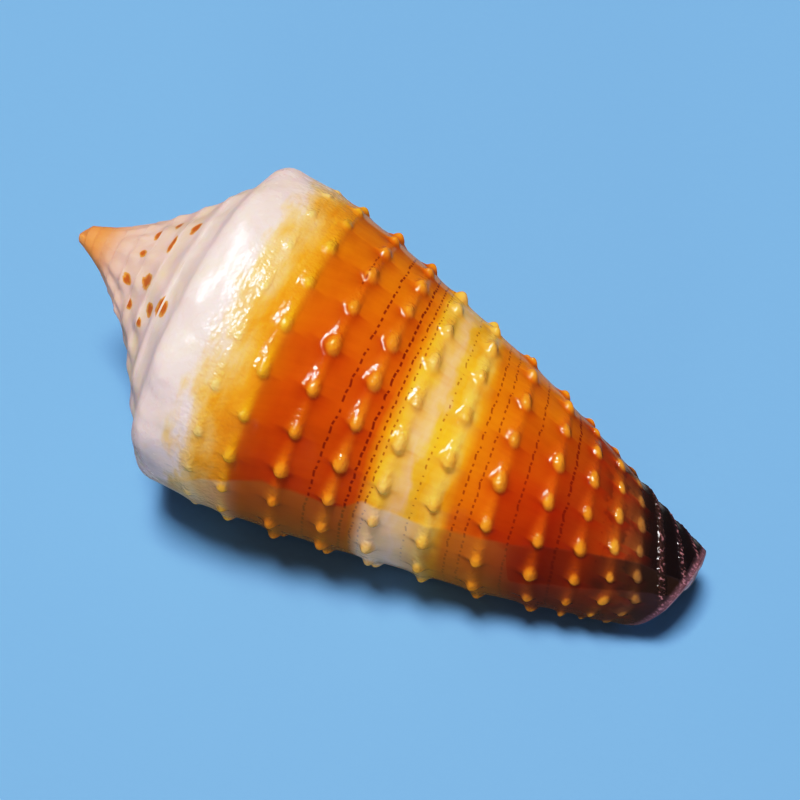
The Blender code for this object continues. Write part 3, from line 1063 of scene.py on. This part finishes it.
# %% Painted pink glints, the rim and the inside
# Painted glints: pink specks on the cord crests and on the rim.
glint_specks = ease(unrolled_noise(turns * 110.0, along * 4.0, 1.0), 0.5, 0.68)
crest = ease(field["ridge"], 0.55, 0.95) * ease(along, 41.6, 42.4)
colour = mix(colour, paint(196, 136, 140), crest * glint_specks * 0.85)
colour = mix(colour, paint(176, 124, 136), field["rim"] * (0.4 + 0.55 * glint_specks))
inside_tone = mix(paint(216, 186, 190), paint(244, 232, 228), ease(field["inside"], 0.5, 1.0))
colour = mix(colour, inside_tone, ease(field["inside"], 0.2, 0.6))
print("nodes so far:", len(glaze_tree.nodes))

# %% [markdown]
# A cleaned cone shell shines like porcelain, but its glaze is wavy and breaks up each glint.
# Slow swells, fine ripples on the ridges and creases near the shoulder are heights that feed one
# Bump node.
# That bends the light without adding faces, and it is only for what is finer than the mesh.
# A clear coat would look smooth again on top, because it has a normal of its own, so there is
# none.

# %% Waves in the glaze
BUMP_DEPTH = 0.00016
swells = surface_noise(620.0, 1.0) * (0.9 + 0.9 * fading(along, 12.0, 15.0))
wet = ease(field["ridge"], 0.2, 0.8).maths("MAXIMUM", stretch(along, 11.5, 13.5, 16.0, 17.0) * 0.5)
ripple = surface_noise(3800.0, 1.0) * (0.08 + 0.8 * wet)
crease = unrolled_noise(turns * 18.0, along * 1.2, 2.0)
crease = crease * (0.4 * ease(along, 9.4, 10.6) + 0.6 * ease(along, 12.0, 13.5))
crease = crease * fading(along, 16.0, 17.5)
relief = growth * 0.12 + ripple * 1.5 + swells + crease * 1.1
bump = start.node("Bump", None, {"Strength": 0.5, "Distance": BUMP_DEPTH, "Height": relief})
print("bump depth, m:", BUMP_DEPTH)

# %% [markdown]
# The polish is a low roughness, a little duller on the white shoulder and the inside.
# Light also goes some way into the shell and comes out redder, which softens the shade round each
# bead.
# These depths are the same everywhere, so they are set straight on the shader.

# %% Polish and depth
POLISH = 0.13
fine = surface_noise(900.0, 3.0)
roughness = POLISH + (fine - 0.5) * 0.12 + 0.14 * fading(along, 11.5, 15.0)
roughness = roughness + 0.1 * fading(along, 9.6, 10.4) + field["inside"] * 0.06

shine = glaze_tree.nodes["Principled BSDF"]
glaze_tree.links.new(colour.socket, shine.inputs["Base Color"])
glaze_tree.links.new(roughness.socket, shine.inputs["Roughness"])
glaze_tree.links.new(bump.socket, shine.inputs["Normal"])
shine.inputs["Specular IOR Level"].default_value = 0.62
shine.inputs["Subsurface Weight"].default_value = 0.2
shine.inputs["Subsurface Radius"].default_value = (1.0, 0.42, 0.16)
shine.inputs["Subsurface Scale"].default_value = 0.0008
shell.data.materials.append(glaze)
print("nodes in the glaze:", len(glaze_tree.nodes))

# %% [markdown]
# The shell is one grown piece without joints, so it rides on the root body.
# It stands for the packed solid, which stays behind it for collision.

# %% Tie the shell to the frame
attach(shell, "root")
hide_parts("shell")
print("piece:", shell.name)

# %% [markdown]
# The floor is a plain pale sheet with a very fine tooth, like coated card.
# It reaches far past the picture, so no edge shows.
# It stays out of the reflections, because a smooth blue sheen would hide the colours of the lower
# side; a dull reflection of it is painted into the shell's colour there instead.

# %% Floor
FLOOR_HALF = 3.0
floor_mesh = bpy.data.meshes.new("floor")
signs = ((-1, -1), (1, -1), (1, 1), (-1, 1))
corners = [(FLOOR_HALF * x, FLOOR_HALF * y, 0.0) for x, y in signs]
floor_mesh.from_pydata(corners, [], [(0, 1, 2, 3)])
floor = bpy.data.objects.new("floor", floor_mesh)
bpy.context.scene.collection.objects.link(floor)
floor.visible_glossy = False

card = bpy.data.materials.new("pale_card")
card.use_nodes = True
card_start = Wire(card.node_tree)
card_at = card_start.node("TexCoord", None, None, out="Object")
tooth_of = {"Vector": card_at, "Scale": 1500.0, "Detail": 2.0}
tooth = card_start.node("TexNoise", None, tooth_of)
card_bump = card_start.node("Bump", None, {"Strength": 0.15, "Distance": 0.0001, "Height": tooth})
card_shine = card.node_tree.nodes["Principled BSDF"]
card_shine.inputs["Base Color"].default_value = paint(121, 170, 219)
card_shine.inputs["Roughness"].default_value = 0.9
card_shine.inputs["Specular IOR Level"].default_value = 0.1
card.node_tree.links.new(card_bump.socket, card_shine.inputs["Normal"])
floor_mesh.materials.append(card)
print("floor side, m:", 2.0 * FLOOR_HALF)

# %% [markdown]
# Light: a soft panel straight above gives the form and the shadow, and a wide weak one fills from
# the sky.
# A low panel in front lifts the lower side of the shell and hardly touches the floor, so the
# shadow stays deep.
# None of them shows in the glaze.
# The sparkle comes from two columns of small panes on the left, like a window.
# They light nothing and are only mirrored, and so is a pale card that gives the far edge a soft
# sheen.

# %% Lights
AIM = Vector((0.0014, 0.0001, 0.009))
PANE = 0.018
PANE_WATTS = 0.11
PANE_STEP = 0.05
PANE_COLUMNS = (-0.105, -0.065)
PANE_ROWS = 6
SKY_STRENGTH = 0.036


def panel(name, place, size, watts, mirrored=False):
    """A square light that faces the shell. Only a mirrored one shows in the glaze."""
    lamp = bpy.data.lights.new(name, "AREA")
    lamp.shape = "SQUARE"
    lamp.size = size
    lamp.energy = watts
    holder = bpy.data.objects.new(name, lamp)
    holder.location = place
    holder.rotation_euler = (AIM - Vector(place)).to_track_quat("-Z", "Y").to_euler()
    holder.visible_glossy = mirrored
    holder.visible_diffuse = not mirrored
    bpy.context.scene.collection.objects.link(holder)


panel("soft_top", (-0.04, 0.01, 0.55), 0.15, 3.25)
panel("sky_fill", (0.1, 0.0, 0.6), 0.7, 0.14)
for column, pane_x in enumerate(PANE_COLUMNS):
    for number in range(PANE_ROWS):
        pane_at = (pane_x, -0.15 + PANE_STEP * number, 0.29)
        panel(f"pane_{column}_{number}", pane_at, PANE, PANE_WATTS, mirrored=True)
panel("front_fill", (0.2, -0.5, 0.045), 0.14, 0.98)
panel("far_card", (-0.08, 0.32, -0.37), 0.34, 0.1, mirrored=True)

sky = bpy.data.worlds.new("sky")
bpy.context.scene.world = sky
sky.use_nodes = True
background = sky.node_tree.nodes["Background"]
background.inputs["Color"].default_value = (1.0, 0.98, 0.96, 1.0)
background.inputs["Strength"].default_value = SKY_STRENGTH
print("panes:", len(PANE_COLUMNS) * PANE_ROWS)

# %% [markdown]
# The picture has deep shadows and whites that roll off instead of clipping.
# Blender's standard view clips at white, so a tone curve is laid over it: darker at the bottom, a
# little fuller in the middle, and lower at the top, where it leaves room for the glints.

# %% Tone curve
TONE = ((0.05, 0.036), (0.1, 0.082), (0.2, 0.19), (0.4, 0.41), (0.6, 0.62), (0.8, 0.785))
WHITE = 0.885
view = bpy.context.scene.view_settings
view.view_transform = "Standard"
view.use_curve_mapping = True
tone = view.curve_mapping
curve = tone.curves[3]
curve.points[1].location = (1.0, WHITE)
for x, y in TONE:
    curve.points.new(x, y)
tone.update()
print("points on the tone curve:", len(curve.points))

# %% [markdown]
# The camera stands close, in front and well above, and is turned a little about its own line of
# sight.
# Its place, its aim and that turn are what make the render line up with the picture.

# %% Camera
CAMERA_AT = Vector((0.0274174, -0.0416359, 0.0912622))
CAMERA_AIM = Vector((0.0013583, 0.0001206, 0.009))
CAMERA_ROLL = -4.317
LENS = 74.7

eye = bpy.data.cameras.new("camera")
eye.lens = LENS
eye.sensor_width = 36.0
eye.clip_start = 0.005
camera = bpy.data.objects.new("camera", eye)
look = (CAMERA_AIM - CAMERA_AT).to_track_quat("-Z", "Y").to_matrix()
turned = look @ Matrix.Rotation(math.radians(CAMERA_ROLL), 3, "Z")
camera.matrix_world = Matrix.Translation(CAMERA_AT) @ turned.to_4x4()
bpy.context.scene.collection.objects.link(camera)
bpy.context.scene.camera = camera
print("camera height, m:", round(CAMERA_AT.z, 4))

# %% [markdown]
# Last, the view layer is brought up to date.

# %% Finish
bpy.context.view_layer.update()
